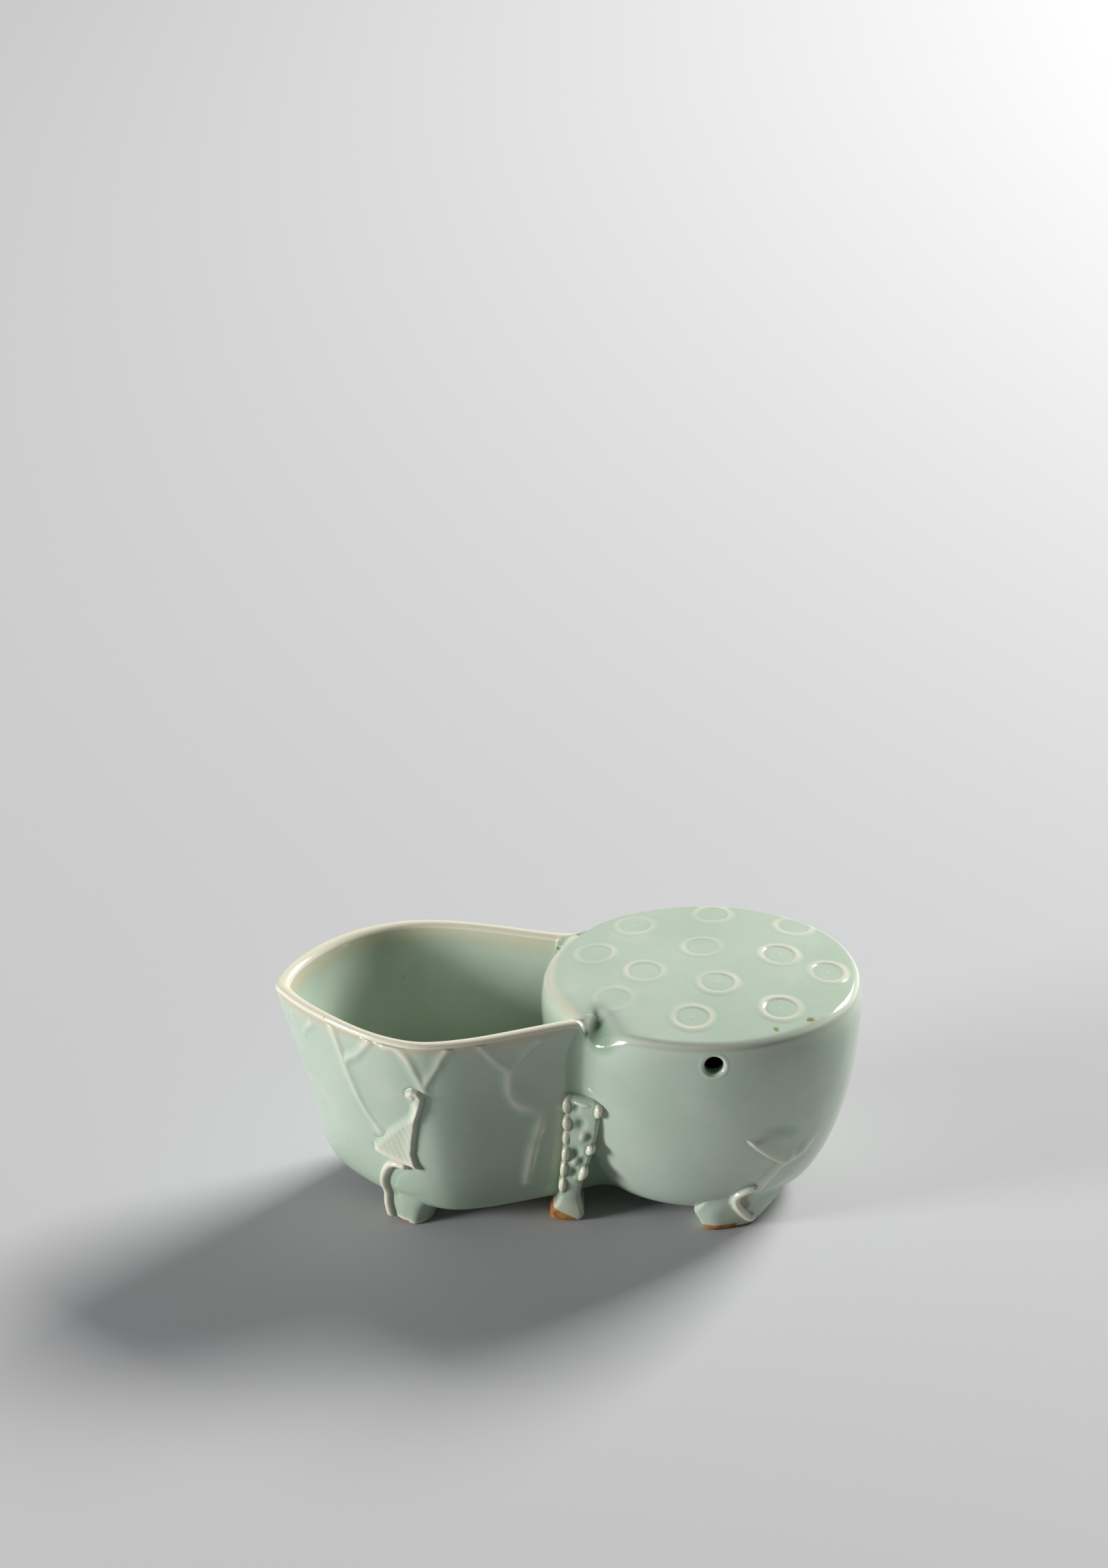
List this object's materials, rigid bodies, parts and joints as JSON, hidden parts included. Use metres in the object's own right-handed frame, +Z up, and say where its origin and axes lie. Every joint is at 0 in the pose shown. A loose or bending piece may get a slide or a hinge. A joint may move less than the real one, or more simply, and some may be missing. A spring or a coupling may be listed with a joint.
{
  "type": "calligraphy water dropper",
  "caption": "Celadon porcelain water dropper: a closed lotus seed pod with a pierced wall, joined to an open pointed lotus leaf cup on small leaf and stalk feet.",
  "frame": {"origin": "centre of the bounding box on the table, under the feet", "axes": "+X from the leaf tip to the pod, +Z up, -Y is the front with the visible hole"},
  "size_m": [0.1042, 0.0504, 0.0442],
  "materials": {
    "celadon_glaze": "gloss",
    "thin_glaze": "gloss",
    "glaze_bare_foot": "gloss, bare clay under the feet"
  },
  "bodies": {
    "root": {"pod_floor": "celadon_glaze", "pod_wall": "celadon_glaze", "pod_lid": "celadon_glaze", "cup_floor": "celadon_glaze", "cup_wall": "celadon_glaze", "rib_left": "thin_glaze", "rib_middle": "thin_glaze", "rib_right": "thin_glaze", "rib_back_left": "thin_glaze", "rib_back_right": "thin_glaze", "leaf_lappet": "thin_glaze", "leaf_foot_left": "glaze_bare_foot", "stalk": "glaze_bare_foot", "pod_lappet": "thin_glaze", "leaf_foot_right": "glaze_bare_foot", "leaf_foot_back_left": "glaze_bare_foot", "leaf_foot_back_right": "glaze_bare_foot"}
  },
  "joints": []
}
